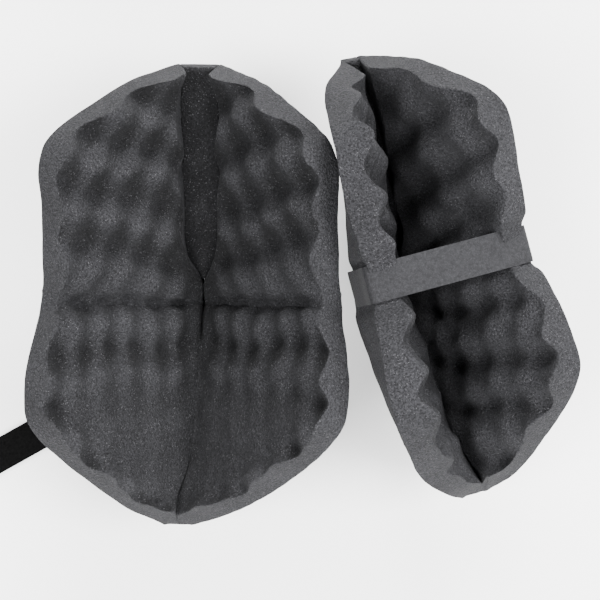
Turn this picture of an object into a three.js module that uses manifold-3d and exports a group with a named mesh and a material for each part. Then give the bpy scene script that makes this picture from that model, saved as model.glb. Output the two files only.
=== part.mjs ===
// A pair of foam knee pads for roof work: two folded cups of convoluted foam, each with a
// two-faced strap. The left pad lies mouth up with its strap undone. The right pad lies mouth up,
// rolled a little, with its strap closed over the mouth.
// Units are millimetres, +Z is up, and the pads lie on z = 0 with their thigh ends towards +Y.
import * as THREE from 'three';
import { mergeVertices } from 'three/addons/utils/BufferGeometryUtils.js';
import Module from 'manifold-3d';

const wasm = await Module();
wasm.setup();

// ---- driving dimensions ----
const FOAM = 28;                 // slab thickness that stands for the bumpy sheet
const GAP = 0.3;                 // clearance between pieces that touch
const PLY = 1.0;                 // thickness of one strap ply, and of a glued patch
const STRAP_WIDTH = 26;

const THIGH_LENGTH = 180;        // from the knee fold to the thigh end, in plan
const SHIN_LENGTH = 167;         // from the knee fold to the shin end, in plan
const KEEL_HALF = 14;            // half width of the flat spine under the thigh end
const SHIN_KEEL_HALF = 8;        // half width of the rounded fold under the shin end
const KEEL_BLEND = 40;           // length over which one half width becomes the other
const THIGH_RISE = 0.426;        // slope of the spine towards the thigh end
const THIGH_RISE_START = 14;     // where that slope meets the floor
const SHIN_ARC = 400;            // radius of the shin fold, seen from the side
const SHIN_START_SLOPE = 0.09;   // sine of the shin fold's slope at the knee
const SHIN_DRIFT = -6.4;         // sideways drift of the shin end's fold
const DRIFT_REACH = 120;         // girth over which that drift fades out
const SEAM_Y = 3;                // the glued knee seam at floor level
const SEAM_LEAN = 0.06;          // how far the seam leans to the thigh end per height
const STRIP_START = 24;          // knee end of the spine strip
const STRIP_THICK = 13;

const WALL_ANGLE = 53;           // slope of the relaxed walls, degrees
const SHIN_OPENING = 2;          // how much flatter the walls are at the shin end, degrees
const SQUEEZE = 17;              // how much steeper the closed strap pulls them, degrees

// half girth of the cup from the spine's edge up to the cut rim, by distance along the pad
const GIRTH = [
  [-SHIN_LENGTH, 3], [-152, 45], [-130, 91], [-97, 145], [-75, 165], [-40, 167], [0, 152],
  [60, 145], [95, 144], [115, 132], [140, 92], [160, 55], [THIGH_LENGTH, 3],
];

const LEFT_PAD = { x: -20.3, y: -14.9, z: 0, yaw: -0.7, roll: 0, squeeze: 0 };
const RIGHT_PAD = { x: 135.2, y: -3.4, z: 0.8, yaw: 14.9, roll: 9.9, squeeze: SQUEEZE };

const CLOSED_Y = 11;             // middle of the closed strap along the right pad
const CLOSED_TAB = 58;           // length hooked on the right pad's far wall
const LOOSE_ANGLE = 30;          // how far the loose strap is turned in plan, degrees
const LOOSE_Y = -28;             // where its middle line crosses the left pad's spine
const LOOSE_TUCK = 12;           // length tucked under the spine past its middle
const LOOSE_LENGTH = 250;        // from the spine's middle to the loose end
const LOOSE_HINGE = 30;          // from the spine's middle to where the loose part can lift
const FLEX_ROOM = 7;             // room over the loose strap for the wall that spreads
const FLEX_LENGTH = 12;          // how far that room reaches past the hinge

const BEND = 5;                  // corner radius of the closed strap
const PAST_BEND = 1;             // straight end of the strap's root after its bend over the rim
const CLOSED_BASE = -0.4;        // height of the closed strap's outer face under the spine
const CLOSED_START = 2;          // how far past the spine's middle the closed strap starts
const TAB_INSET = 2;             // from the bend over the far rim to the strap's hooked end
const HOOK_LENGTH = 50;
const HOOK_WIDTH = 24;

const THREAD = 1;
const RING = [34, 18];           // length and width of the ring of stitches
const RING_INSET = 4;            // from the strap's end to the ring

const PATCH_LENGTH = 54;
const PATCH_WIDTH = 30;
const PATCH_INSET = 8;           // from the rim to the left pad's landing patch
const LANDING_INSET = 4;         // from the hooked end's start to the right pad's patch under it
const ANCHOR_PATCH = 20;
const CLOSED_ANCHOR = 13;        // length of the right pad's anchor patch

// ---- how solids are cut and divided ----
const FAR = 400;                 // further than any pad reaches
const BELOW_SPINE = 26;          // how far a wall slab runs on under the spine
const PAST_SEAM = 33;            // how far a wall slab runs on past the knee seam
const OUTSIDE = -14;             // how far a pocket cutter reaches outside the strap's face
const POCKET_BASE = -5;          // how far a pocket cutter reaches below the floor
const GIRTH_STEPS = 6;
const PAD_STEPS = 18;
const BEND_STEPS = 3;
const MITRE_LIMIT = 2;
const STEEPEST = 0.95;           // largest sine of the shin fold's slope
const WELD = 1e-4;               // points closer than this become one

const rad = THREE.MathUtils.degToRad;
const foamDark = { color: 0x4b4d51, roughness: 0.96, metalness: 0 };
const strapGrey = { color: 0x6b6e72, roughness: 0.9, metalness: 0 };
const strapBlack = { color: 0x121214, roughness: 0.85, metalness: 0 };
const threadGrey = { color: 0x2a2b2d, roughness: 0.8, metalness: 0 };

// ---- the shape of one cup, in its own frame: x across, y to the thigh end, z up ----

// smooth curve through [key, value] pairs, cubic with averaged slopes
function through(points, at) {
  const last = points.length - 1;
  const i = Math.max(0, Math.min(last - 1, points.findLastIndex((p) => p[0] <= at)));
  const slope = (k) => {
    const a = points[Math.max(0, k - 1)];
    const b = points[Math.min(last, k + 1)];
    return (b[1] - a[1]) / (b[0] - a[0]);
  };
  const [x0, y0] = points[i];
  const [x1, y1] = points[i + 1];
  const h = x1 - x0;
  const t = Math.max(0, Math.min(1, (at - x0) / h));
  const bend0 = slope(i) * h - (y1 - y0);
  const bend1 = (y1 - y0) - slope(i + 1) * h;
  return y0 + (y1 - y0) * t + t * (1 - t) * (bend0 * (1 - t) + bend1 * t);
}

const thighCup = {
  keel: (y) => THIGH_RISE * (y - THIGH_RISE_START),
  half: () => KEEL_HALF,
  wall: (y, squeeze) => rad(WALL_ANGLE + squeeze),
  drift: () => 0,
};

const shinCup = {
  keel: (y) => {
    const sine = Math.min(STEEPEST, SHIN_START_SLOPE + (SEAM_Y - y) / SHIN_ARC);
    const start = Math.sqrt(1 - SHIN_START_SLOPE ** 2);
    return thighCup.keel(SEAM_Y) + SHIN_ARC * (start - Math.sqrt(1 - sine ** 2));
  },
  half: (y) => {
    const share = Math.max(0, Math.min(1, 1 + y / KEEL_BLEND));
    return SHIN_KEEL_HALF + (KEEL_HALF - SHIN_KEEL_HALF) * share;
  },
  wall: (y, squeeze) => rad(WALL_ANGLE + squeeze - SHIN_OPENING * Math.max(0, -y / SHIN_LENGTH)),
  drift: (y, s) => SHIN_DRIFT * Math.max(0, -y / SHIN_LENGTH) * Math.exp(-s / DRIFT_REACH),
};

// a point of the cup's outer face: s is the girth from the spine's edge, side is -1 or 1
function outerPoint(cup, side, squeeze, s, y) {
  const wall = cup.wall(y, squeeze);
  const x = side * (cup.half(y) + s * Math.cos(wall)) + cup.drift(y, s);
  return new THREE.Vector3(x, y, cup.keel(y) + s * Math.sin(wall));
}

// the same point moved inwards, square to the face
function depthPoint(cup, side, squeeze, s, y, depth) {
  const step = 0.5;
  const along = (ds, dy) => outerPoint(cup, side, squeeze, s + ds, y + dy);
  const alongGirth = along(step, 0).sub(along(-step, 0));
  const alongPad = along(0, step).sub(along(0, -step));
  const inward = alongGirth.cross(alongPad).normalize();
  inward.multiplyScalar(inward.z > 0 ? depth : -depth);
  return outerPoint(cup, side, squeeze, s, y).add(inward);
}

// ---- solids ----

function toSolid(geometry) {
  const bare = geometry.clone();
  bare.deleteAttribute('normal');
  bare.deleteAttribute('uv');
  const merged = mergeVertices(bare, WELD);
  const vertProperties = new Float32Array(merged.attributes.position.array);
  const triVerts = new Uint32Array(merged.index.array);
  return new wasm.Manifold(new wasm.Mesh({ numProp: 3, vertProperties, triVerts }));
}

function toGeometry(solid) {
  const { vertProperties, triVerts } = solid.getMesh();
  const geometry = new THREE.BufferGeometry();
  geometry.setAttribute('position', new THREE.BufferAttribute(vertProperties, 3));
  geometry.setIndex(new THREE.BufferAttribute(triVerts, 1));
  return geometry;
}

// closed body between two grids of points with the same rows and columns
function bodyBetween(outer, inner) {
  const rows = outer.length;
  const cols = outer[0].length;
  const points = [...outer.flat(), ...inner.flat()];
  const far = rows * cols;
  const index = [];
  const quad = (a, b, c, d) => index.push(a, b, c, a, c, d);
  for (let i = 0; i < rows - 1; i++) {
    for (let j = 0; j < cols - 1; j++) {
      const a = i * cols + j;
      quad(a, a + 1, a + cols + 1, a + cols);
      quad(far + a, far + a + cols, far + a + cols + 1, far + a + 1);
    }
  }
  const edge = (a, b) => quad(b, a, far + a, far + b);
  for (let j = 0; j < cols - 1; j++) {
    edge(j, j + 1);
    edge((rows - 1) * cols + j + 1, (rows - 1) * cols + j);
  }
  for (let i = 0; i < rows - 1; i++) {
    edge((i + 1) * cols, i * cols);
    edge(i * cols + cols - 1, (i + 1) * cols + cols - 1);
  }
  const geometry = new THREE.BufferGeometry();
  geometry.setAttribute('position', new THREE.Float32BufferAttribute(points.flatMap((p) => p.toArray()), 3));
  geometry.setIndex(index);
  return geometry;
}

// evenly spaced numbers from one value to another
function spread(from, to, count) {
  return Array.from({ length: count + 1 }, (_, i) => from + (to - from) * i / count);
}

// foam slab of one wall, before it is trimmed to its neighbours
function wallSlab(cup, side, squeeze, ys) {
  const grid = (depth) => ys.map((y) => {
    const girths = spread(-BELOW_SPINE, through(GIRTH, y), GIRTH_STEPS);
    return girths.map((s) => depthPoint(cup, side, squeeze, s, y, depth));
  });
  const [outer, inner] = [grid(0), grid(FOAM)];
  return toSolid(side > 0 ? bodyBetween(inner, outer) : bodyBetween(outer, inner));
}

// box between two corners, as a solid
function boxSolid(low, high) {
  const size = high.map((v, i) => v - low[i]);
  const box = new THREE.BoxGeometry(...size);
  box.translate(...low.map((v, i) => v + size[i] / 2));
  return toSolid(box);
}

// everything below the floor, in a pad's own frame
function floorCutter(pose) {
  const box = new THREE.BoxGeometry(2 * FAR, 2 * FAR, FAR);
  box.translate(0, 0, -FAR / 2);
  box.applyMatrix4(poseMatrix(pose).invert());
  return toSolid(box);
}

function poseMatrix(pose) {
  const euler = new THREE.Euler(0, rad(pose.roll), rad(pose.yaw), 'ZYX');
  const turn = new THREE.Quaternion().setFromEuler(euler);
  const place = new THREE.Vector3(pose.x, pose.y, pose.z);
  return new THREE.Matrix4().compose(place, turn, new THREE.Vector3(1, 1, 1));
}

// everything on the shin side of the glued knee seam
function shinSideCutter() {
  const box = new THREE.BoxGeometry(2 * FAR, FAR, 2 * FAR);
  box.translate(0, -FAR / 2, 0);
  box.rotateX(-Math.atan(SEAM_LEAN));
  box.translate(0, SEAM_Y, 0);
  return toSolid(box);
}

// everything past the pad's middle plane, seen from one wall
function otherSideCutter(side) {
  if (side > 0) return boxSolid([-FAR, -FAR, -FAR], [GAP / 2, FAR, FAR]);
  return boxSolid([-GAP / 2, -FAR, -FAR], [FAR, FAR, FAR]);
}

function thighWing(side, pose, pockets) {
  let wing = wallSlab(thighCup, side, pose.squeeze, spread(SEAM_Y - PAST_SEAM, THIGH_LENGTH, PAD_STEPS));
  const channel = boxSolid([-KEEL_HALF, STRIP_START, -FAR], [KEEL_HALF, FAR, FAR]);
  const seam = shinSideCutter().translate([0, GAP / 2, 0]);
  for (const cut of [otherSideCutter(side), channel, seam, floorCutter(pose), ...pockets]) {
    wing = wing.subtract(cut);
  }
  return toGeometry(wing);
}

function shinPanel(side, pose, pockets) {
  const slab = wallSlab(shinCup, side, pose.squeeze, spread(-SHIN_LENGTH, SEAM_Y + PAST_SEAM, PAD_STEPS));
  let panel = slab.intersect(shinSideCutter().translate([0, -GAP / 2, 0]));
  for (const cut of [otherSideCutter(side), floorCutter(pose), ...pockets]) {
    panel = panel.subtract(cut);
  }
  return toGeometry(panel);
}

// flat foam strip that closes the dart between the thigh wings
function spineStrip() {
  const slope = Math.atan(THIGH_RISE);
  const length = (THIGH_LENGTH - STRIP_START - 2 * GAP) / Math.cos(slope);
  const strip = new THREE.BoxGeometry(2 * (KEEL_HALF - GAP), length, STRIP_THICK);
  strip.translate(0, length / 2, STRIP_THICK / 2);
  strip.rotateX(slope);
  const lift = Math.sin(slope) * STRIP_THICK;
  strip.translate(0, STRIP_START + GAP + lift, thighCup.keel(STRIP_START + GAP + lift));
  return strip;
}

// ---- the straps: a grey knitted face ply and a black backing ply ----

const STRAP_THICK = 2 * PLY + GAP;
const FACE_PLY = [0, PLY];
const BACK_PLY = [PLY + GAP, STRAP_THICK];
const HOOK_LAYER = [STRAP_THICK + GAP, STRAP_THICK + GAP + PLY];
const PATCH_UNDER_HOOK = [STRAP_THICK + 2 * GAP + PLY, STRAP_THICK + 2 * GAP + 2 * PLY];

// the path moved to its inward side, mitred at its corners
function offsetPath(path, depth) {
  return path.map((point, i) => {
    const before = path[Math.max(0, i - 1)];
    const after = path[Math.min(path.length - 1, i + 1)];
    const into = point.clone().sub(before).normalize();
    const out = after.clone().sub(point).normalize();
    if (i === 0) into.copy(out);
    if (i === path.length - 1) out.copy(into);
    const normal = into.clone().add(out).normalize();
    const stretch = Math.min(MITRE_LIMIT, 1 / normal.dot(into));
    return new THREE.Vector2(point.x + normal.y * depth * stretch, point.y - normal.x * depth * stretch);
  });
}

// part of a path between two distances along it
function pathPart(path, from, to) {
  const part = [];
  let run = 0;
  for (let i = 0; i < path.length - 1; i++) {
    const length = path[i].distanceTo(path[i + 1]);
    const at = (d) => path[i].clone().lerp(path[i + 1], (d - run) / length);
    if (run <= from && from < run + length) part.push(at(from));
    if (run > from && run < to) part.push(path[i].clone());
    if (run < to && to <= run + length) part.push(at(to));
    run += length;
  }
  return part;
}

// each corner of a path cut back and rounded
function rounded(path, radius) {
  return path.flatMap((point, i) => {
    if (i === 0 || i === path.length - 1) return [point];
    const start = point.clone().add(path[i - 1].clone().sub(point).setLength(radius));
    const end = point.clone().add(path[i + 1].clone().sub(point).setLength(radius));
    const curve = new THREE.QuadraticBezierCurve(start, point, end);
    return curve.getPoints(BEND_STEPS);
  });
}

// strip along a path in the x-z plane, between two depths, as wide as given along y
function ribbon(path, layer, y, width) {
  const outline = [...offsetPath(path, layer[0]), ...offsetPath(path, layer[1]).reverse()];
  const geometry = new THREE.ExtrudeGeometry(new THREE.Shape(outline), { depth: width, bevelEnabled: false });
  geometry.rotateX(Math.PI / 2);
  geometry.translate(0, y + width / 2, 0);
  return geometry;
}

// point of the closed strap's line on a wall: down from the rim, and in from the outside
function closedCorner(side, depth, down = 0) {
  const s = through(GIRTH, CLOSED_Y) - down;
  const point = depthPoint(thighCup, side, SQUEEZE, s, CLOSED_Y, depth);
  return new THREE.Vector2(point.x, point.z);
}

// the closed strap's outer line round the right pad, from under the spine to the far wall
function closedPath() {
  const spine = [new THREE.Vector2(CLOSED_START, CLOSED_BASE), new THREE.Vector2(-KEEL_HALF, CLOSED_BASE)];
  const near = [closedCorner(-1, 0), closedCorner(-1, FOAM)];
  const far = [closedCorner(1, FOAM), closedCorner(1, 0), closedCorner(1, 0, CLOSED_TAB + BEND)];
  return rounded([...spine, ...near, ...far], BEND);
}

// where the rounding of a corner ends on the way to the next one
function bendEnd(corner, next) {
  return next.clone().sub(corner).setLength(BEND).add(corner);
}

// distance along a path to its point closest to a place
function lengthTo(path, place) {
  let run = 0;
  let best = { off: path[0].distanceTo(place), run: 0 };
  path.slice(1).forEach((point, i) => {
    run += point.distanceTo(path[i]);
    const off = point.distanceTo(place);
    if (off < best.off) best = { off, run };
  });
  return best.run;
}

const closed = closedPath();
const closedLength = closed.slice(1).reduce((sum, p, i) => sum + p.distanceTo(closed[i]), 0);
const pastRim = lengthTo(closed, bendEnd(closedCorner(-1, 0), closedCorner(-1, FOAM))) + PAST_BEND;
const tabStart = closedLength - CLOSED_TAB + TAB_INSET;

function closedSections() {
  return {
    anchor: pathPart(closed, 0, pastRim),
    span: pathPart(closed, pastRim + GAP, tabStart - GAP),
    tab: pathPart(closed, tabStart, closedLength),
  };
}

// the loose strap lies flat: x runs along it, 0 at the spine's middle, z up from the floor
function looseFrame(geometry) {
  geometry.rotateZ(rad(LOOSE_ANGLE));
  geometry.translate(0, LOOSE_Y, 0);
  return geometry;
}

function looseLayer(from, to, layer, width) {
  const box = new THREE.BoxGeometry(to - from, width, layer[1] - layer[0]);
  box.translate((from + to) / 2, 0, (layer[0] + layer[1]) / 2);
  return looseFrame(box);
}

// flat ring of thread round a strap end
function stitchRing(length, width) {
  const side = (w, h) => [[-w, -h], [w, -h], [w, h], [-w, h]].map((p) => new THREE.Vector2(...p));
  const shape = new THREE.Shape(side(length / 2, width / 2));
  shape.holes.push(new THREE.Path(side(length / 2 - THREAD, width / 2 - THREAD)));
  return new THREE.ExtrudeGeometry(shape, { depth: THREAD / 2, bevelEnabled: false });
}

// ---- the patches glued to the foam ----

// path along the right wall of a pad where its landing patch lies
function landingPath(squeeze) {
  const top = through(GIRTH, CLOSED_Y) - PATCH_INSET;
  const at = (s) => depthPoint(thighCup, 1, squeeze, s, CLOSED_Y, 0);
  return [at(top), at(top - PATCH_LENGTH)].map((p) => new THREE.Vector2(p.x, p.z));
}

// ---- assembly ----

const group = new THREE.Group();

function padGroup(pose) {
  const pad = new THREE.Group();
  pad.applyMatrix4(poseMatrix(pose));
  group.add(pad);
  return pad;
}

function add(parent, name, geometry, look) {
  const mesh = new THREE.Mesh(geometry, new THREE.MeshStandardMaterial(look));
  mesh.name = name;
  parent.add(mesh);
  return mesh;
}

function addFoam(parent, label, pose, pockets) {
  for (const [side, word] of [[-1, 'left'], [1, 'right']]) {
    add(parent, `${label}_thigh_wing_${word}`, thighWing(side, pose, pockets), foamDark);
    add(parent, `${label}_shin_panel_${word}`, shinPanel(side, pose, pockets), foamDark);
  }
  add(parent, `${label}_spine_strip`, trimmed(spineStrip(), pockets), foamDark);
}

function trimmed(geometry, pockets) {
  return toGeometry(pockets.reduce((solid, cut) => solid.subtract(cut), toSolid(geometry)));
}

const grown = (layer) => [OUTSIDE, layer[1] + GAP];

function addLeftPad() {
  const pad = padGroup(LEFT_PAD);
  const hinge = -LOOSE_HINGE;
  const flexEnd = hinge - FLEX_LENGTH;
  const half = ANCHOR_PATCH / 2;
  const landing = landingPath(0);
  const pocket = (from, to, top, room) => (
    toSolid(looseLayer(from, to, [POCKET_BASE, top], STRAP_WIDTH + 2 * room))
  );
  const pockets = [
    pocket(flexEnd, LOOSE_TUCK + GAP, STRAP_THICK + GAP, GAP),
    pocket(-half - GAP, half + GAP, HOOK_LAYER[1] + GAP, GAP),
    pocket(flexEnd, -half, FLEX_ROOM, FLEX_ROOM),
    toSolid(ribbon(pathGrown(landing), grown(FACE_PLY), CLOSED_Y, PATCH_WIDTH + 2 * GAP)),
  ];
  addFoam(pad, 'left_pad', LEFT_PAD, pockets);
  add(pad, 'left_pad_anchor_patch', looseLayer(-half, half, HOOK_LAYER, STRAP_WIDTH), strapBlack);
  add(pad, 'left_pad_landing_patch', ribbon(landing, FACE_PLY, CLOSED_Y, PATCH_WIDTH), strapBlack);
  add(pad, 'left_strap_root_face', looseLayer(hinge + GAP, LOOSE_TUCK, FACE_PLY, STRAP_WIDTH), strapGrey);
  add(pad, 'left_strap_root_backing', looseLayer(hinge + GAP, LOOSE_TUCK, BACK_PLY, STRAP_WIDTH), strapBlack);
  add(pad, 'left_strap_free_face', looseLayer(-LOOSE_LENGTH, hinge, FACE_PLY, STRAP_WIDTH), strapGrey);
  add(pad, 'left_strap_free_backing', looseLayer(-LOOSE_LENGTH, hinge, BACK_PLY, STRAP_WIDTH), strapBlack);
  const hookEnd = -LOOSE_LENGTH + HOOK_LENGTH;
  add(pad, 'left_strap_hook_pad', looseLayer(-LOOSE_LENGTH, hookEnd, HOOK_LAYER, HOOK_WIDTH), strapBlack);
  const ring = stitchRing(...RING);
  ring.translate(-LOOSE_LENGTH + RING_INSET + RING[0] / 2, 0, HOOK_LAYER[1] + GAP);
  add(pad, 'left_strap_stitching', looseFrame(ring), threadGrey);
}

// a path made longer by the clearance at both ends
function pathGrown(path) {
  const first = path[0].clone().sub(path[1]).setLength(GAP).add(path[0]);
  const n = path.length - 1;
  const last = path[n].clone().sub(path[n - 1]).setLength(GAP).add(path[n]);
  return [first, ...path.slice(1, -1), last];
}

function addRightPad() {
  const pad = padGroup(RIGHT_PAD);
  const { anchor, span, tab } = closedSections();
  const landing = pathPart(closed, tabStart + LANDING_INSET, closedLength);
  const hookPart = pathPart(closed, closedLength - HOOK_LENGTH, closedLength);
  const anchorPatch = pathPart(closed, 0, CLOSED_ANCHOR);
  const pocket = (path, layer, width) => (
    toSolid(ribbon(pathGrown(path), grown(layer), CLOSED_Y, width + 2 * GAP))
  );
  const pockets = [
    pocket(closed, BACK_PLY, STRAP_WIDTH),
    pocket(landing, PATCH_UNDER_HOOK, STRAP_WIDTH),
    pocket(anchorPatch, HOOK_LAYER, STRAP_WIDTH),
  ];
  addFoam(pad, 'right_pad', RIGHT_PAD, pockets);
  add(pad, 'right_pad_anchor_patch', ribbon(anchorPatch, HOOK_LAYER, CLOSED_Y, STRAP_WIDTH), strapBlack);
  add(pad, 'right_pad_landing_patch', ribbon(landing, PATCH_UNDER_HOOK, CLOSED_Y, STRAP_WIDTH), strapBlack);
  const sections = [['root', anchor], ['span', span], ['end', tab]];
  for (const [word, path] of sections) {
    add(pad, `right_strap_${word}_face`, ribbon(path, FACE_PLY, CLOSED_Y, STRAP_WIDTH), strapGrey);
    add(pad, `right_strap_${word}_backing`, ribbon(path, BACK_PLY, CLOSED_Y, STRAP_WIDTH), strapBlack);
  }
  add(pad, 'right_strap_hook_pad', ribbon(hookPart, HOOK_LAYER, CLOSED_Y, HOOK_WIDTH), strapBlack);
  add(pad, 'right_strap_stitching', closedStitching(tab), threadGrey);
}

function closedStitching(tab) {
  const [before, end] = tab.slice(-2);
  const along = end.clone().sub(before).normalize();
  const ring = stitchRing(...RING);
  ring.translate(-RING_INSET - RING[0] / 2, 0, GAP);
  ring.rotateY(-Math.atan2(along.y, along.x));
  ring.translate(end.x, CLOSED_Y, end.y);
  return ring;
}

addLeftPad();
addRightPad();

export default group;
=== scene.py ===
# Pair of convoluted-foam knee pads on a pale studio floor, seen from straight above.
# The left pad lies open with its strap undone; the right one has its strap closed over the mouth.
# Lengths are millimetres in the row frame until a mesh is made, which turns them into metres.
from math import cos, pi, radians, sin, tan

import bmesh
import bpy
import numpy as np
from mathutils import Matrix, Vector


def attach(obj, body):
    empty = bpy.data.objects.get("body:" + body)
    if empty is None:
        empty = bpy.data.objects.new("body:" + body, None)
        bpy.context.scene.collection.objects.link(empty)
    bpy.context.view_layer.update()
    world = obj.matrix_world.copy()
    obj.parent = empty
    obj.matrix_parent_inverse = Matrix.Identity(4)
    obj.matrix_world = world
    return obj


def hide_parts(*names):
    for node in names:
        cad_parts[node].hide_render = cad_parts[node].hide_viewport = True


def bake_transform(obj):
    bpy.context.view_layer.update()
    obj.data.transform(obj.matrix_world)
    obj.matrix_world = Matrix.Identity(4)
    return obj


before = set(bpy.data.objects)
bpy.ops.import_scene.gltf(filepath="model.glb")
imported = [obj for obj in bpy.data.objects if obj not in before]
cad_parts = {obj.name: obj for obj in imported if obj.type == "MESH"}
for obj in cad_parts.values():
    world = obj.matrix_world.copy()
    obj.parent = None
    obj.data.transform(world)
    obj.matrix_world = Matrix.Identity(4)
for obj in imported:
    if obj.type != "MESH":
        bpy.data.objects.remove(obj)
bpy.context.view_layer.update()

MM = 0.001

# ---- driving dimensions of the foam, the same as the CAD's ----
THIGH_LENGTH = 180
SHIN_LENGTH = 167
KEEL_HALF = 14
SHIN_KEEL_HALF = 8
KEEL_BLEND = 40
THIGH_RISE = 0.426
THIGH_RISE_START = 14
SHIN_ARC = 400
SHIN_START_SLOPE = 0.09
SHIN_DRIFT = -6.4
DRIFT_REACH = 120
SEAM_Y = 3
SEAM_LEAN = 0.06
STRIP_START = 24
STRIP_THICK = 13
WALL_ANGLE = 53
SHIN_OPENING = 2         # degrees by which the shin's walls open towards its end
STEEPEST = 0.95          # sine of the keel's steepest slope
GIRTH = [
    (-167, 3), (-152, 45), (-130, 91), (-97, 145), (-75, 165), (-40, 167), (0, 152),
    (60, 145), (95, 144), (115, 132), (140, 92), (160, 55), (180, 3),
]

# ---- the convolutions ----
EDGE_MARGIN = 2          # what softening takes off the cut edges
MARGIN_FADE = 22         # length over which it grows from the ends
FOAM_PEAK = 28.5
FOAM_VALLEY = 15.0
# share of a step by which the peaks wander off the lattice
PEAK_DRIFT = (0.07, 0.05, 0.06, 0.04)
HALF_STEP = 0.5          # from a peak to the next valley
LEAST_ROW = 0.3          # least room between the thigh's last row and the seam
LAST_THIGH_ROW = 3       # the thigh's last row of peaks above the seam
SHIN_CALM_FROM = 35      # below here the shin's convolutions fade, over how far
SHIN_CALM_OVER = 45
RIM_CALM_FROM = 32       # nearer the rim than this they come back, over how far
RIM_CALM_OVER = 24
TIP_CALM_FROM = 112      # above here those of the thigh fade, over how far
TIP_CALM_OVER = 30
SPINE_WAVE = 0.25        # share of the depth that is left at the spine
FOLD_BEND_FROM = 115
FOLD_BEND_OVER = 35
SLIT = 0.3               # gap between two cut faces that meet
HOLE = 1.5               # half width of the small hole at the waist, its place and reach
HOLE_Y = 9
HOLE_REACH = 3.5
SLIT_END = -28           # the slit runs on into the shin sheet as far as here
SLIT_DEEP = 12
SLIT_EASE = 8
SEAM_BLEND = 18          # width over which the shin's convolutions turn into the thigh's
KEEL_EASE = 44           # length over which the thigh's rise turns into the shin's
ROW_SHARE = 0.7          # how much of the depth lies between the rows, the rest along them
SHADE_SHARE = 0.6        # the same for how dark the painted shade in the valleys is
SEAM_SHADE_EASING = 0.6         # how much less painted shade the valley along the seam gets than the others
DEEP_SHADE_REACH = 75          # how far up the walls the painted shade near the spine reaches
DEEP_SHADE_Y = 22              # where along the spine the painted shade is darkest, and how far along
DEEP_SHADE_SPREAD = 55
DEEP_SHADE_SHARE = 0.3         # how much painted shade lies elsewhere along the spine
SEAM_PRESS = 0.03        # half the gap between the two sheets along the waist seam
STRIP_OVERLAP = 1.2      # the strip is pressed in between the wings by this much
STRIP_SHADE = 0.85       # painted shade on the strip's face, as dark as in a valley
STRIP_TAPER = 16         # length over which the wings close over the strip's lower end
# half width left between the wings' cut edges, from the waist to the thigh end
DART = [
    (24, 0.4), (31, 5), (47, 10.8), (61, 13.6), (80, 12), (92, 13.8), (104, 15.6),
    (118, 11.2), (134, 14.6), (147, 16), (160, 12), (174, 7.6), (181, 7),
]
ROW_STEP = 1.7           # size of the foam meshes' faces
CUT_LAYERS = 10
STRIP_LAYERS = 6
SOFTENINGS = 2           # rounds of softening of the cut edges
WELD = 0.02              # points nearer than this are one
SLIVER = 0.01            # faces thinner than this go
SHARP_ANGLE = 50         # degrees
HALVINGS = 30            # rounds of the search for the crease, and where it starts from
CREASE_REACH = 80.0
SEAM_ROUNDS = 12         # rounds of moving a panel's first row onto the seam
TAPER_SHARE = 0.8        # the inner face ends within this share of the length, where it has room
TAPER_STEPS = 120
TAPER_ROOM = 2
STRIP_ROWS = 100
STRIP_COLUMNS = 24
STRIP_CROWN = 0.12       # how much thinner the strip is at its edges
STRIP_WAVE = 0.04        # its slow unevenness along its length, and the length of that
STRIP_WAVE_LENGTH = 9
STRIP_INSET = 0.4        # how far it stays inside the keel's edge
FOAM_ROUGH = 0.35        # height of the slow unevenness of the foam, and of the strip
STRIP_ROUGH = 0.2
WING_GIRTH = 165         # the girths that the meshes' columns are counted for
SHIN_GIRTH = 170
END_BUNCH = 0.4          # how much closer together the rows lie at the tapered ends
SEAM_KEEP = 1.5          # the softening spares points this near the seam
CORNER_FROM = 110        # where the wing's far corner is rounded off, and over how far
CORNER_LENGTH = 66

# ---- the straps ----
STRAP_WIDTH = 26
PLY = 1.0
PLY_GAP = 0.3
LAYERS = {"face": (0, PLY), "backing": (PLY + PLY_GAP, 2 * PLY + PLY_GAP)}
PULL_REACH = 45          # how far along the rim the strap's pull is felt
PULL_HEIGHT = 150        # height up the wall at which it is felt in full
BULGE_Y = -25            # where the wall beside it bows outwards the most, and how far along
BULGE_REACH = 95
FLARE_Y = 150            # where the loose end of the wall bows outwards, how far along and up
FLARE_REACH = 32
FLARE_HEIGHT = 65
BOW_START = 25           # height up the wall at which the bowing starts
BOW_LEAN = 0.5           # how much of it the way through the foam follows
PRESS_SHOULDER = 7       # width over which the foam rises beside the closed strap
SQUEEZE_SHOULDER = 14    # the same for the foam's inner face
PRESS_MARGIN = 1.5       # the pressed zone is this much wider than the strap on each side
TAB_EASE = 8             # length over which it ends beyond the strap's hooked end
STRAP_ROUNDING = 5       # radius of the strap's bends
BEND_STEPS = 8
WALL_POINTS = (0.2, 0.85, 5)  # shares of the wall where the strap follows it: first, last, count
BAND_COLUMNS = 18
PLY_LAYERS = 2
PATH_STEP = 1.5
LOOSE_STEP = 2.0
STRAP_EDGE = 0.35        # how much thinner a ply is at its edges, and how suddenly
EDGE_POWER = 8
ROOT_END = 2.0           # where the closed strap starts across the keel, and its height there
ROOT_HEIGHT = -0.4
ROOT_RUN = 16            # its length on the keel
CLOSED_Y = 11
CLOSED_TAB = 58
TAB_SLACK = 2            # from the end of the hooked tab to the bend over the rim
RIM_CORNER = 24          # how far in the strap leaves the rim's cut face
LOOSE_ANGLE = 30
LOOSE_Y = -28
LOOSE_TUCK = 12
LOOSE_LENGTH = 250
LOOSE_HINGE = 30
LOOSE_BEND = (-3, 5)     # the bend's ends, from the hinge along the loose strap
CLOSED_BEND = (-4, 5)    # and from a corner along the closed one

# ---- the left wall's bend, across the keel ----
BEND_FROM = 2.0
BEND_TO = -50.0

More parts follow.
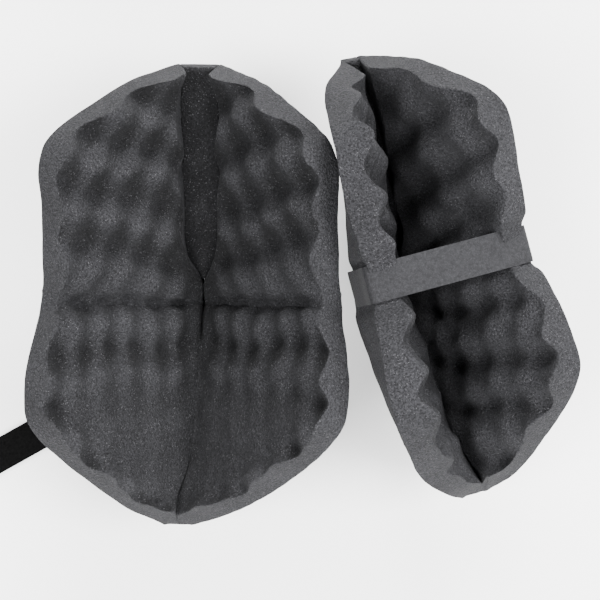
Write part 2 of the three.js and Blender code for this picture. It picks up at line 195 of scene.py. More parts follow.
# ---- colours: dark and light grey of each slot, and how blue they are ----
FOAM_GREYS = (0.0135, 0.018)
FOAM_BLUE = 1.1
FLECK_GREY = 0.1
DARKEST_PAINTED_SHADE = 0.23      # how bright the foam's colour is under the fullest painted shade, against the rest
FACE_GREYS = (0.013, 0.021)
BACKING_GREYS = (0.0012, 0.004)
HOOK_GREYS = (0.003, 0.014)
PATCH_GREYS = (0.004, 0.014)
THREAD_GREYS = (0.012, 0.03)
FLOOR_GREYS = (0.9, 0.93)

# ---- the studio ----
# name, place in metres and power in watts of each soft light
LIGHTS = [
    ("key", (0.3, 1.9, 1.35), 170),
    ("right", (1.45, -0.1, 1.8), 150),
    ("left", (-1.1, -0.5, 2.0), 105),
    ("front", (0.1, -1.9, 1.35), 100),
]
LIGHT_SIZE = 1.2
LIGHT_AIM = (0, 0, 0.05)
WORLD_LIGHT = 0.2
FLOOR_SIZE = 6
CAMERA_PLACE = (56.2, -10.4, 950)  # millimetres
CAMERA_VIEW = 28.5       # degrees across the picture
SENSOR = 36              # its width in millimetres


class Pad:
    """Where one pad lies, how far its walls are pulled up, and how its convolutions run."""

    def __init__(
        self, name, place, yaw, roll, squeeze, thigh, shin,
        calm, shade, dart=1.0, lean=0.0, tips=(1.0, 1.0), pressed=0.0, pull=0.0,
        bulge=0.0, flare=0.0, pinch=0.0, fold_bend=-8.0, corner=0.0,
    ):
        self.name = name
        self.squeeze = squeeze        # how many degrees steeper the walls stand
        self.dart = dart              # how far open the dart between the thigh wings is
        self.lean = lean              # sideways wander of the spine's thigh end
        self.tips = tips              # how far the fold reaches at the shin and thigh ends
        self.pressed = pressed        # how deep the closed strap presses into the foam
        self.pull = pull              # how far the closed strap draws the left rim inwards
        self.bulge = bulge            # how far the left wall bows outwards below it
        self.flare = flare            # how far its loose end bows outwards
        self.pinch = pinch            # how much the flat keel narrows at the thigh end
        self.fold_bend = fold_bend    # how far the shin's fold wanders at its end
        self.corner = corner          # how much is rounded off the left wing's far corner
        self.calm = calm              # where the bumps start, over how far, calm at tip and shin
        self.shade = shade            # how dark the painted shade is in the valleys, deep near the spine and on the peaks
        self.lattice = {"thigh": thigh, "shin": shin}
        turn = Matrix.Rotation(radians(yaw), 3, "Z") @ Matrix.Rotation(radians(roll), 3, "Y")
        self.turn = np.array(turn)
        self.place = np.array(place, float)

    def world(self, points):
        return points @ self.turn.T + self.place

    def at_seam(self, co):
        x, y, z = (np.array(co) / MM - self.place) @ self.turn
        return abs(y - SEAM_Y - SEAM_LEAN * z) < SEAM_KEEP


# a lattice is its first peak (s, y) and its two steps; s runs up the wall from the keel
LEFT = Pad(
    "left_pad", (-20.3, -14.9, 0), -0.7, 0, 0,
    thigh={
        -1: ((58.7, 134), (-29.5, -3.5), (21.7, -34.8)),
        1: ((57.8, 136.8), (-31.4, -3.5), (21.1, -34.2)),
    },
    shin={
        -1: ((119.5, -17.7), (-25.9, 0.3), (-5.2, -36.7)),
        1: ((116.9, -15), (-27.9, -0.9), (-0.5, -35.4)),
    },
    calm=(10, 30, 0, 0.85), shade=(1, 0.55, 0.32),
)
RIGHT = Pad(
    "right_pad", (135.2, -3.4, 0.8), 14.9, 9.9, 17,
    thigh={-1: ((62, 134), (-31, -4), (20, -35)), 1: ((61, 132), (-35, -5), (17, -36))},
    shin={-1: ((124, -14), (-28, 0), (-8, -36)), 1: ((129, -12), (-30, 1), (-13, -35))},
    calm=(18, 45, 0.5, 0.2), shade=(0.4, 0, 0),
    dart=0.2, lean=-10, tips=(0.8, 0.9), pressed=2.7, pull=9, bulge=17, flare=11, pinch=0.6,
    fold_bend=9, corner=4,
)


# ---- the cup's shape in a pad's own frame ----

def through(points, at):
    """Smooth curve through points."""
    xs, ys = np.array(points, float).T
    at = np.asarray(at, float)
    slope = np.zeros_like(ys)
    slope[1:-1] = (ys[2:] - ys[:-2]) / (xs[2:] - xs[:-2])
    slope[0] = (ys[1] - ys[0]) / (xs[1] - xs[0])
    slope[-1] = (ys[-1] - ys[-2]) / (xs[-1] - xs[-2])
    i = np.clip(np.searchsorted(xs, at, "right") - 1, 0, len(xs) - 2)
    h = xs[i + 1] - xs[i]
    t = np.clip((at - xs[i]) / h, 0, 1)
    rise = ys[i + 1] - ys[i]
    bend = (slope[i] * h - rise) * (1 - t) + (rise - slope[i + 1] * h) * t
    return ys[i] + rise * t + t * (1 - t) * bend


def ease(t):
    t = np.clip(t, 0, 1)
    return t * t * (3 - 2 * t)


def keel_height(y):
    """Height of the keel: a rising thigh line and a rounded shin, eased into each other."""
    thigh = THIGH_RISE * (y - THIGH_RISE_START)
    sine = np.minimum(STEEPEST, SHIN_START_SLOPE + (SEAM_Y - y) / SHIN_ARC)
    fall = np.sqrt(1 - SHIN_START_SLOPE**2) - np.sqrt(1 - sine**2)
    shin = THIGH_RISE * (SEAM_Y - THIGH_RISE_START) + SHIN_ARC * fall
    return shin + (thigh - shin) * ease(0.5 + (y - SEAM_Y) / KEEL_EASE)


def thigh_shape(y, squeeze):
    """Keel height, half width of the flat keel, and wall angle at y."""
    return keel_height(y), KEEL_HALF + 0 * y, np.radians(WALL_ANGLE + squeeze) + 0 * y


def shin_shape(y, squeeze):
    """The same for the shin."""
    keel = keel_height(y)
    half = SHIN_KEEL_HALF + (KEEL_HALF - SHIN_KEEL_HALF) * np.clip(1 + y / KEEL_BLEND, 0, 1)
    down = np.maximum(0, -y / SHIN_LENGTH)
    return keel, half, np.radians(WALL_ANGLE + squeeze - SHIN_OPENING * down)


def drift(pad, part, s, y):
    """Sideways wander of the fold."""
    if part == "shin":
        return shin_drift(pad, s, y)
    fade = np.exp(-np.maximum(s, 0) / (DRIFT_REACH / 2))
    return pad.lean * np.maximum(0, y / THIGH_LENGTH) ** 2 * fade


def girth(pad, side, y):
    """How far the rim is up the wall: shorter tips, and pulled down under the strap."""
    shin_tip, thigh_tip = pad.tips
    y = np.asarray(y, float)
    if side < 0:
        y = y + pad.corner * np.sin(pi * np.clip((y - CORNER_FROM) / CORNER_LENGTH, 0, 1))
    low, high = GIRTH[1][0], GIRTH[-2][0]
    at = np.where(y > high, high + (y - high) / thigh_tip, y)
    at = np.where(y < low, low + (y - low) / shin_tip, at)
    low_end, high_end = ends(pad)
    margin = EDGE_MARGIN * ease(np.minimum(y - low_end, high_end - y) / MARGIN_FADE)
    pressed = under_strap(y) if pad.pressed else 0
    return through(GIRTH, at) + margin * (1 - pressed) - pad.pressed * pressed


def ends(pad):
    """y of the pad's shin and thigh ends."""
    shin_tip, thigh_tip = pad.tips
    low, high = GIRTH[1][0], GIRTH[-2][0]
    shin_end = low + (GIRTH[0][0] - low) * shin_tip
    return shin_end, high + (GIRTH[-1][0] - high) * thigh_tip


def under_strap(y, shoulder=PRESS_SHOULDER):
    """1 under the closed strap, falling to 0 beside it."""
    return 1 - ease((np.abs(y - CLOSED_Y) - STRAP_WIDTH / 2 - PRESS_MARGIN) / shoulder)


def pressed_point(pad, part, side, s, y):
    """The outer face, pressed in where the closed strap lies on it."""
    base = outer_point(pad, part, side, s, y)
    covered = under_strap(y)
    if side > 0:
        covered = covered * ease((s - girth(pad, side, y) + CLOSED_TAB + TAB_EASE) / TAB_EASE)
    return base + inward(pad, part, side, s, y) * (pad.pressed * covered)[..., None]


def shin_drift(pad, s, y):
    """Sideways wander of the shin's fold, which fades up the walls."""
    down = np.maximum(0, -y / SHIN_LENGTH)
    up = np.maximum(s, 0)
    bend = ease((-y - FOLD_BEND_FROM) / FOLD_BEND_OVER)
    wander = SHIN_DRIFT * down * np.exp(-up / DRIFT_REACH)
    return wander + pad.fold_bend * bend * np.exp(-up / (DRIFT_REACH / 2))


SHAPES = {"thigh": thigh_shape, "shin": shin_shape}


def outer_point(pad, part, side, s, y, bow_share=1.0):
    """The outer face's point at s up the wall, with its bows and the strap's pull."""
    keel, half, wall = SHAPES[part](y, pad.squeeze)
    up = np.maximum(s, 0)
    narrow = 1 - pad.pinch * np.maximum(0, y / THIGH_LENGTH) ** 2
    x = side * ((half + np.minimum(s, 0)) * narrow + up * np.cos(wall))
    x = x + drift(pad, part, s, y)
    if side < 0:
        x = x + pad.pull * np.exp(-(((y - CLOSED_Y) / PULL_REACH) ** 2)) * (up / PULL_HEIGHT) ** 2
        bow = pad.bulge * bow_share * np.exp(-(((y - BULGE_Y) / BULGE_REACH) ** 2))
        x = x - bow * np.sin(pi * np.clip((up - BOW_START) / (PULL_HEIGHT - BOW_START), 0, 1)) ** 2
        x = x - pad.flare * np.exp(-(((y - FLARE_Y) / FLARE_REACH) ** 2)) * ease(up / FLARE_HEIGHT)
    return np.stack([x + 0 * s, y + 0 * s, keel + up * np.sin(wall)], -1)


def inward(pad, part, side, s, y):
    """The way through the foam; it follows only part of the wall's bow, so nothing is crushed."""
    e = 0.5
    s = np.maximum(s, e)

    def point(s, y):
        return outer_point(pad, part, side, s, y, BOW_LEAN)

    along = point(s + e, y) - point(s - e, y)
    down = point(s, y + e) - point(s, y - e)
    normal = side * np.cross(along, down)
    return normal / np.linalg.norm(normal, axis=-1, keepdims=True)


def thickness(pad, side, s, y):
    """Foam thickness; the shin's convolutions turn into the thigh's above the waist seam."""
    shin_side = convoluted(pad, "shin", side, s, y)
    thigh_side = convoluted(pad, "thigh", side, s, y)
    above = y - SEAM_Y - SEAM_LEAN * s
    thick = shin_side + (thigh_side - shin_side) * ease(0.5 + above / SEAM_BLEND)
    squeezed = under_strap(y, SQUEEZE_SHOULDER) if pad.pressed else 0
    return thick - np.maximum(0, thick - RIM_CORNER + 1) * squeezed


def convoluted(pad, part, side, s, y):
    """Foam thickness from peaks on the lattice's points and valleys half a step away."""
    middle = (FOAM_PEAK + FOAM_VALLEY) / 2
    return middle + (FOAM_PEAK - FOAM_VALLEY) / 2 * wave(pad, part, side, s, y)


def wave(pad, part, side, s, y, row_share=ROW_SHARE):
    """1 on a peak, -1 in a valley."""
    (s0, y0), (us, uy), (vs, vy) = pad.lattice[part][side]
    det = us * vy - uy * vs
    i = ((s - s0) * vy - (y - y0) * vs) / det
    j = ((y - y0) * us - (s - s0) * uy) / det
    a, b, c, d = PEAK_DRIFT
    i = i + a * np.sin(2.1 * j + 0.9 * side) + b * np.sin(1.7 * i + 2.3 * j + side)
    j = j + c * np.sin(1.9 * i + 1.1 + side) + d * np.sin(3.1 * j - 1.3 * i)
    # both sheets run into one valley along the seam
    if part == "thigh":
        at_seam = (y0 + uy * i - SEAM_Y) / -vy
        last = LAST_THIGH_ROW
        to_seam = np.clip((j - last) / np.maximum(at_seam - last, LEAST_ROW), 0, 1)
        j = np.where(j > last, last + HALF_STEP * to_seam, j)
    else:
        j = np.maximum(j, -HALF_STEP)
    calm_from, calm_over, calm_tip, calm_shin = pad.calm
    below_rim = 1 - ease((s - girth(pad, side, y) + RIM_CALM_FROM) / RIM_CALM_OVER)
    shin_calm = calm_shin * ease((-y - SHIN_CALM_FROM) / SHIN_CALM_OVER) * below_rim
    fade = (1 - shin_calm) * (SPINE_WAVE + (1 - SPINE_WAVE) * ease((s - calm_from) / calm_over))
    fade = fade * (1 - calm_tip * ease((y - TIP_CALM_FROM) / TIP_CALM_OVER))
    return ((1 - row_share) * np.cos(2 * pi * i) + row_share * np.cos(2 * pi * j)) * fade


def inner_point(pad, part, side, s, y):
    thick = thickness(pad, side, s, y)
    base = outer_point(pad, part, side, s, y)
    return base + inward(pad, part, side, s, y) * thick[..., None]


def valleys(pad, side, inner):
    """Painted shade of each point of an inner face, from peak_shade on a peak up to 1: darkest deep
    in a valley, eased along the seam, darker low near the spine.
    """
    y = inner[..., 1]
    wall = np.radians(WALL_ANGLE + pad.squeeze)
    offset = (FOAM_PEAK + FOAM_VALLEY) / 2 * np.sin(wall)
    s = (side * inner[..., 0] - KEEL_HALF + offset) / np.cos(wall)
    above = y - SEAM_Y - SEAM_LEAN * s
    shin_side = wave(pad, "shin", side, s, y, SHADE_SHARE)
    thigh_side = wave(pad, "thigh", side, s, y, SHADE_SHARE)
    height = shin_side + (thigh_side - shin_side) * ease(0.5 + above / SEAM_BLEND)
    valley_shade, depth_shade, peak_shade = pad.shade
    # painted shade: darker in the valleys, eased along the seam, darker low near the spine
    seam_shade_easing = 1 - SEAM_SHADE_EASING * np.exp(-((above / SEAM_BLEND) ** 2))
    deep = ease(1 - s / DEEP_SHADE_REACH) * (DEEP_SHADE_SHARE + np.exp(-(((y - DEEP_SHADE_Y) / DEEP_SHADE_SPREAD) ** 2)))
    shade = valley_shade * (0.5 - 0.5 * height) * seam_shade_easing + depth_shade * deep
    return np.clip(shade, peak_shade, 1)


def crease(pad, part, side, y, cut):
    """How far up the wall the inner face starts, where it meets the cut at x = cut."""
    low = np.zeros_like(y)
    high = np.full_like(y, CREASE_REACH)
    for _ in range(HALVINGS):
        middle = (low + high) / 2
        x = side * (inner_point(pad, part, side, middle, y)[..., 0] - drift(pad, part, 0 * y, y))
        high = np.where(x > cut, middle, high)
        low = np.where(x > cut, low, middle)
    return (low + high) / 2


def seam_rows(point, ends, v, gap):
    """y of every row of a panel, from the leaning seam plane to its end."""
    start = np.full(v.shape, float(SEAM_Y))
    for _ in range(SEAM_ROUNDS):
        rows = start + (ends - start) * v
        at = point(rows[:1])
        off = at[..., 1] - (SEAM_Y + gap + SEAM_LEAN * at[..., 2])
        start = start - off[:1]
    return start + (ends - start) * v


# ---- closed meshes between two grids of points ----

def cut_strip(a, b, layers=CUT_LAYERS):
    """The rows of points of a cut face, from row a to row b."""
    t = np.linspace(0, 1, layers + 1)[:, None, None]
    return a[None] * (1 - t) + b[None] * t


def grid_faces(rows, columns, offset):
    index = np.arange(rows * columns).reshape(rows, columns) + offset
    quads = np.stack([index[:-1, :-1], index[:-1, 1:], index[1:, 1:], index[1:, :-1]], -1)
    return quads.reshape(-1, 4)


def slab(outer, inner, layers=CUT_LAYERS):
    """Points and faces of the closed body between two grids with the same rows and columns."""
    edges = [(outer[0], inner[0]), (outer[-1], inner[-1])]
    edges += [(outer[:, 0], inner[:, 0]), (outer[:, -1], inner[:, -1])]
    grids = [outer, inner, *(cut_strip(a, b, layers) for a, b in edges)]
    points, faces, count = [], [], 0
    for grid in grids:
        points.append(grid.reshape(-1, 3))
        faces.append(grid_faces(*grid.shape[:2], count))
        count += grid.shape[0] * grid.shape[1]
    return np.concatenate(points), np.concatenate(faces)


def mesh_object(name, points, faces, soften=0, pad=None, painted_shade=None):
    """Closed smooth mesh in the row frame, its edges softened except along a pad's waist seam."""
    mesh = bpy.data.meshes.new(name)
    mesh.from_pydata((points * MM).tolist(), [], faces.tolist())
    if painted_shade is not None:
        # each point of the inner face keeps its painted shade, which darkens the foam's colour
        shade = np.zeros(len(points))
        shade[painted_shade.size:2 * painted_shade.size] = painted_shade.ravel()
        mesh.attributes.new("painted_shade", "FLOAT", "POINT").data.foreach_set("value", shade)
    bm = bmesh.new()
    bm.from_mesh(mesh)
    bmesh.ops.remove_doubles(bm, verts=bm.verts, dist=WELD * MM)
    bmesh.ops.dissolve_degenerate(bm, dist=SLIVER * MM, edges=bm.edges)
    free = [v for v in bm.verts if pad is None or not pad.at_seam(v.co)]
    for _ in range(soften):
        bmesh.ops.smooth_vert(
            bm, verts=free, factor=0.5, use_axis_x=True, use_axis_y=True, use_axis_z=True
        )
    bmesh.ops.recalc_face_normals(bm, faces=bm.faces)
    bm.to_mesh(mesh)
    bm.free()
    mesh.polygons.foreach_set("use_smooth", [True] * len(mesh.polygons))
    mesh.set_sharp_from_angle(angle=radians(SHARP_ANGLE))
    obj = bpy.data.objects.new(name, mesh)
    bpy.context.scene.collection.objects.link(obj)
    return obj


def on_floor(points):
    points = points.copy()
    points[:, 2] = np.maximum(points[:, 2], 0.0)
    return points


def roughened(points, amount=FOAM_ROUGH):
    """Slow unevenness of cut foam."""
    x, y, z = points.T
    a = np.sin(0.21 * x + 0.13 * z + 1.0) * np.sin(0.17 * y - 0.11 * x)
    b = np.sin(0.43 * y + 0.37 * z) * np.sin(0.39 * x - 0.29 * y + 2.0)
    c = np.sin(0.83 * z + 0.71 * x + 0.5) * np.sin(0.77 * y + 0.3 * z)
    return points + amount * np.stack([a + 0.4 * c, b + 0.4 * a, c * 0.5 + b * 0.6], -1)


# ---- the foam pieces ----

def even(count, bunch=0.0):
    """Fractions from 0 to 1, closer together near 1 when bunched."""
    t = np.linspace(0, 1, count)
    return t * (1 - bunch) + (1 - (1 - t) ** 2) * bunch


def wing(pad, side):
    """One thigh wing: a wall of foam from the dart and the spine slit up to the rim."""
    part = "thigh"
    columns, rows = int(WING_GIRTH / ROW_STEP), int(THIGH_LENGTH / ROW_STEP)
    u = even(columns)[None, :]
    v = even(rows, END_BUNCH)[:, None]

    def keel_cut(y):
        return slit(y) + (KEEL_HALF - SLIT) * ease((y - STRIP_START) / STRIP_TAPER)

    def outer_at(y):
        reach = girth(pad, side, y) + KEEL_HALF
        s = keel_cut(y) + (reach - keel_cut(y)) * u - KEEL_HALF
        return pressed_point(pad, part, side, s, y)

    inner_end = last_row(pad, part, side)

    def inner_at(y):
        start = crease(pad, part, side, y, dart(pad, y))
        s = start + (girth(pad, side, y) - start) * u
        return inner_point(pad, part, side, s, y)

    outer_rows = seam_rows(outer_at, np.full((1, columns), ends(pad)[1]), v, SEAM_PRESS)
    inner_rows = seam_rows(inner_at, np.full((1, columns), inner_end), v, SEAM_PRESS)
    inner = inner_at(inner_rows)
    points, faces = slab(outer_at(outer_rows), inner)
    word = "left" if side < 0 else "right"
    obj = foam_mesh(pad, f"{pad.name}_wing_{word}_foam", points, faces, valleys(pad, side, inner))
    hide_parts(f"{pad.name}_thigh_wing_{word}")
    return foam_piece(obj)


def dart(pad, y):
    """Half width left between the wings' cut edges."""
    open_to = slit(y) + pad.dart * through(DART, np.maximum(y, STRIP_START))
    return np.where(y < STRIP_START, slit(y) + SLIT, open_to)


def slit(y):
    """Half the gap between the wings' butted faces, with the small hole by the shin."""
    return SLIT / 2 + HOLE * np.exp(-(((y - HOLE_Y) / HOLE_REACH) ** 2))


def last_row(pad, part, side):
    """y where the rim comes down to the start of the inner face."""
    end = ends(pad)[1 if part == "thigh" else 0]
    y = np.linspace(end, end * TAPER_SHARE, TAPER_STEPS)
    cut = dart(pad, y) if part == "thigh" else 0 * y
    room = girth(pad, side, y) - crease(pad, part, side, y, cut)
    return float(y[np.argmax(room > TAPER_ROOM)])


def shin(pad):
    """The folded lower sheet, both walls in one piece."""
    part = "shin"
    half_columns, rows = int(SHIN_GIRTH / ROW_STEP), int(SHIN_LENGTH / ROW_STEP)
    u = even(half_columns)[None, :]
    v = even(rows, END_BUNCH)[:, None]
    sides = []
    for side in (-1, 1):
        def outer_at(y, side=side):
            half = SHAPES[part](y, pad.squeeze)[1]
            s = (girth(pad, side, y) + half) * u - half
            return pressed_point(pad, part, side, s, y)

        def inner_at(y, side=side):
            start = crease(pad, part, side, y, 0 * y)
            s = start + (girth(pad, side, y) - start) * u
            return inner_point(pad, part, side, s, y)

        inner_end = last_row(pad, part, side)
        outer_rows = seam_rows(outer_at, np.full((1, half_columns), ends(pad)[0]), v, -SEAM_PRESS)
        inner_rows = seam_rows(inner_at, np.full((1, half_columns), inner_end), v, -SEAM_PRESS)
        inner = inner_at(inner_rows)
        sides.append((outer_at(outer_rows), inner, valleys(pad, side, inner)))
    joined = []
    for layer in (0, 1):
        left, right = sides[0][layer][:, ::-1], sides[1][layer]
        fold = (left[:, -1:] + right[:, :1]) / 2
        if layer == 1:
            fold[..., 2] -= SLIT_DEEP * ease((fold[..., 1] - SLIT_END) / SLIT_EASE)
        joined.append(np.concatenate([left[:, :-1], fold, right[:, 1:]], 1))
    points, faces = slab(*joined)
    painted_shade = np.concatenate([sides[0][2][:, ::-1], sides[1][2][:, 1:]], 1)
    obj = foam_mesh(pad, f"{pad.name}_shin_foam", points, faces, painted_shade)
    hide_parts(f"{pad.name}_shin_panel_left", f"{pad.name}_shin_panel_right")
    return foam_piece(obj)


def strip(pad):
    """The flat foam strip between the thigh wings, on the spine."""
    y = np.linspace(STRIP_START + 2, ends(pad)[1] + 0.5, STRIP_ROWS)[:, None]
    u = np.linspace(-1, 1, STRIP_COLUMNS)[None, :]
    slope = np.arctan(THIGH_RISE)
    taper = 1 + (KEEL_HALF - 1) * ease((y - STRIP_START) / STRIP_TAPER)
    width = np.minimum(KEEL_HALF - STRIP_INSET, taper)
    keel = THIGH_RISE * (y - THIGH_RISE_START)
    middle = drift(pad, "thigh", 0 * y, y)
    narrow = 1 - pad.pinch * np.maximum(0, y / THIGH_LENGTH) ** 2
    width = (width + STRIP_OVERLAP) * narrow
    uneven = STRIP_WAVE * np.sin(y / STRIP_WAVE_LENGTH)
    thick = STRIP_THICK * (1 - STRIP_CROWN * u**2 + uneven)
    sides = np.concatenate([cut_edge(pad, side, y, width) for side in (-1, 1)], 1)
    across = middle + np.where(u < 0, sides[:, :1], sides[:, 1:]) * u
    bottom = np.stack([middle + u * width, y + 0 * u, keel + 0 * u], -1)
    top = np.stack([across, y - np.sin(slope) * thick, keel + np.cos(slope) * thick], -1)
    points, faces = slab(bottom, top, STRIP_LAYERS)
    # painted shade laid evenly over the strip's top face
    painted_shade = np.full(top.shape[:2], STRIP_SHADE * pad.shade[0])
    points = on_floor(pad.world(roughened(points, STRIP_ROUGH)))
    obj = mesh_object(f"{pad.name}_strip_foam", points, faces, soften=SOFTENINGS, painted_shade=painted_shade)
    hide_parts(f"{pad.name}_spine_strip")
    return foam_piece(obj)


def cut_edge(pad, side, y, width):
    """Half width at the strip's top, where it meets the leaning cut face of a wing."""
    up = crease(pad, "thigh", side, y, dart(pad, y))
    edge = inner_point(pad, "thigh", side, up, y)
    rise = np.maximum(edge[..., 2] - keel_height(y), STRIP_THICK)
    open_to = np.minimum(dart(pad, y), width)
    return width + (open_to - width) * STRIP_THICK / rise + STRIP_OVERLAP / 2


def foam_mesh(pad, name, points, faces, painted_shade):
    points = on_floor(pad.world(roughened(points)))
    return mesh_object(name, points, faces, soften=SOFTENINGS, pad=pad, painted_shade=painted_shade)


def foam_piece(obj):
    obj.data.materials.append(materials["foam"])
    return obj


# ---- the straps ----

def rounded(path, radius, steps=BEND_STEPS):
    """A path with each inner corner cut back and rounded."""
    out = [path[0]]
    for before, corner, after in zip(path, path[1:], path[2:]):
        start = corner + (before - corner) / np.linalg.norm(before - corner) * radius
        end = corner + (after - corner) / np.linalg.norm(after - corner) * radius
        for t in np.linspace(0, 1, steps):
            out.append(start * (1 - t) ** 2 + 2 * corner * t * (1 - t) + end * t**2)
    out.append(path[-1])
    return np.array(out)


def spaced(path, step=PATH_STEP):
    """The path with points at even distances along it."""
    run = np.concatenate([[0], np.cumsum(np.linalg.norm(np.diff(path, axis=0), axis=1))])
    at = np.linspace(0, run[-1], int(run[-1] / step) + 1)
    return np.stack([np.interp(at, run, path[:, k]) for k in range(path.shape[1])], -1), at


def closed_line():
    """The closed strap's outer face in the x-z plane of the right pad."""
    rim = through(GIRTH, CLOSED_Y)
    up_the_wall = np.linspace(*WALL_POINTS) * rim
    y = np.array(float(CLOSED_Y))

    def at(side, s, depth):
        outer = outer_point(RIGHT, "thigh", side, np.array(s), y)
        return (outer + inward(RIGHT, "thigh", side, np.array(s), y) * depth)[[0, 2]]

    spine = [np.array([ROOT_END, ROOT_HEIGHT]), np.array([-KEEL_HALF, ROOT_HEIGHT])]
    near = [*(at(-1, s, 0) for s in up_the_wall), at(-1, rim, 0), at(-1, rim, RIM_CORNER)]
    end = at(1, rim - CLOSED_TAB - STRAP_ROUNDING, 0)
    far = [at(1, rim, RIM_CORNER), at(1, rim, 0), end]
    return spaced(rounded([*spine, *near, *far], STRAP_ROUNDING))


def band(path, layer, width, across=BAND_COLUMNS):
    """One ply of a strap: path is points with their sideways and inward directions."""
    centre, sideways, inward_way = path
    u = np.linspace(-1, 1, across)[None, :, None]
    edge = 1 - np.abs(u) ** EDGE_POWER * STRAP_EDGE
    middle = (layer[0] + layer[1]) / 2
    half = (layer[1] - layer[0]) / 2
    base = centre[:, None] + sideways[:, None] * u * width / 2
    outer = base + inward_way[:, None] * (middle - half * edge)
    inner = base + inward_way[:, None] * (middle + half * edge)
    return slab(outer, inner, PLY_LAYERS)


def closed_frame(path):
    """The closed strap's path with its sideways and inward directions."""
    tangent = np.gradient(path, axis=0)
    tangent /= np.linalg.norm(tangent, axis=1, keepdims=True)
    centre = np.stack([path[:, 0], np.full(len(path), float(CLOSED_Y)), path[:, 1]], -1)
    inward_way = np.stack([tangent[:, 1], np.zeros(len(path)), -tangent[:, 0]], -1)
    sideways = np.tile([0.0, 1.0, 0.0], (len(path), 1))
    return centre, sideways, inward_way


def closed_strap():
    """The closed strap in two lengths that meet at the middle of the mouth."""
    path, run = closed_line()
    total = run[-1]
    rim = through(GIRTH, CLOSED_Y)
    left_corner = ROOT_RUN + rim
    right_corner = total - CLOSED_TAB - TAB_SLACK
    middle = (left_corner + right_corner) / 2
    centre = int(np.argmin(np.abs(run - middle)))
    # each length's part of the path, its bend, the two bodies there and the CAD nodes it replaces
    lengths = {
        "near": (slice(0, centre + 1), left_corner, ("right_pad", "right_strap"), ("root", "span")),
        "far": (slice(centre, None), right_corner, ("right_strap", "right_strap_end"), ("end",)),
    }
    for word, (part, corner, bodies, gone) in lengths.items():
        start, end = (RIGHT.world(path_at(path, run, corner + d)) for d in CLOSED_BEND)
        for ply, layer in LAYERS.items():
            points, faces = band(closed_frame(path[part]), layer, STRAP_WIDTH)
            obj = strap_ply(f"closed_strap_{word}_{ply}", RIGHT, ply, points, faces)
            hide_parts(*[f"right_strap_{n}_{ply}" for n in gone])
            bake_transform(obj)


def strap_ply(name, pad, ply, points, faces):
    obj = mesh_object(name, pad.world(points), faces)
    obj.data.materials.append(materials[f"strap_{ply}"])
    return obj


def path_at(path, run, d):
    return np.array([np.interp(d, run, path[:, 0]), CLOSED_Y, np.interp(d, run, path[:, 1])])


def loose_strap():
    """The undone strap, flat on the floor with its black inner side up."""
    d = np.arange(LOOSE_TUCK, -LOOSE_LENGTH - 0.1, -LOOSE_STEP)
    way = np.array([cos(radians(LOOSE_ANGLE)), sin(radians(LOOSE_ANGLE)), 0])
    across = np.array([-way[1], way[0], 0])
    centre = np.array([0, LOOSE_Y, 0]) + d[:, None] * way
    up = np.tile([0.0, 0.0, 1.0], (len(d), 1))
    path = (centre, np.tile(across, (len(d), 1)), up)
    hinge = np.array([0, LOOSE_Y, 0]) - LOOSE_HINGE * way
    start, end = (LEFT.world(hinge - way * k) for k in LOOSE_BEND)
    for ply, layer in LAYERS.items():
        points, faces = band(path, layer, STRAP_WIDTH)
        obj = strap_ply(f"loose_strap_{ply}", LEFT, ply, points, faces)
        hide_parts(f"left_strap_root_{ply}", f"left_strap_free_{ply}")
        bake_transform(obj)


# ---- materials ----

class Nodes:
    """A material's node tree, with short calls for the nodes used here."""

    def __init__(self, name, **sockets):
        self.material = bpy.data.materials.new(name)
        self.material.use_nodes = True
        self.tree = self.material.node_tree
        self.shader = self.tree.nodes["Principled BSDF"]
        for key, value in sockets.items():
            self.shader.inputs[key.replace("_", " ")].default_value = value

    def node(self, kind, inputs=None, **settings):
        node = self.tree.nodes.new(f"ShaderNode{kind}")
        for key, value in settings.items():
            setattr(node, key, value)
        for key, value in (inputs or {}).items():
            if isinstance(value, bpy.types.NodeSocket):
                self.tree.links.new(value, node.inputs[key])
            else:
                node.inputs[key].default_value = value
        return node

    def place(self):
        return self.node("TexCoord").outputs["Object"]

    def noise(self, scale, detail=3, rough=0.5):
        inputs = {"Vector": self.place(), "Scale": scale, "Detail": detail, "Roughness": rough}
        return self.node("TexNoise", inputs).outputs["Fac"]

    def cells(self, scale, feature="F1"):
        inputs = {"Vector": self.place(), "Scale": scale}
        return self.node("TexVoronoi", inputs, feature=feature).outputs["Distance"]

    def greys(self, value, places, values, blue=1.0):
        """A ramp between two greys."""
        ramp = self.node("ValToRGB", {"Fac": value})
        for element, at, bright in zip(ramp.color_ramp.elements, places, values):
            element.position = at
            element.color = (*grey(bright, blue), 1)
        return ramp.outputs["Color"]

    def mix(self, factor, a, b, mode="MIX"):
        mix = self.node("Mix", data_type="RGBA", blend_type=mode)
        for socket, value in ((0, factor), (6, a), (7, b)):
            if isinstance(value, bpy.types.NodeSocket):
                self.tree.links.new(value, mix.inputs[socket])
            else:
                mix.inputs[socket].default_value = value
        return mix.outputs[2]

    def math(self, operation, a, b=0.0):
        node = self.node("Math", operation=operation)
        for socket, value in ((0, a), (1, b)):
            if isinstance(value, bpy.types.NodeSocket):
                self.tree.links.new(value, node.inputs[socket])
            else:
                node.inputs[socket].default_value = value
        return node.outputs[0]

    def colour(self, socket):
        self.tree.links.new(socket, self.shader.inputs["Base Color"])

    def bump(self, height, distance, strength=1.0):
        node = self.node("Bump", {"Height": height, "Distance": distance, "Strength": strength})
        self.tree.links.new(node.outputs["Normal"], self.shader.inputs["Normal"])


def grey(value, blue=1.0):
    return (value, value, value * blue)


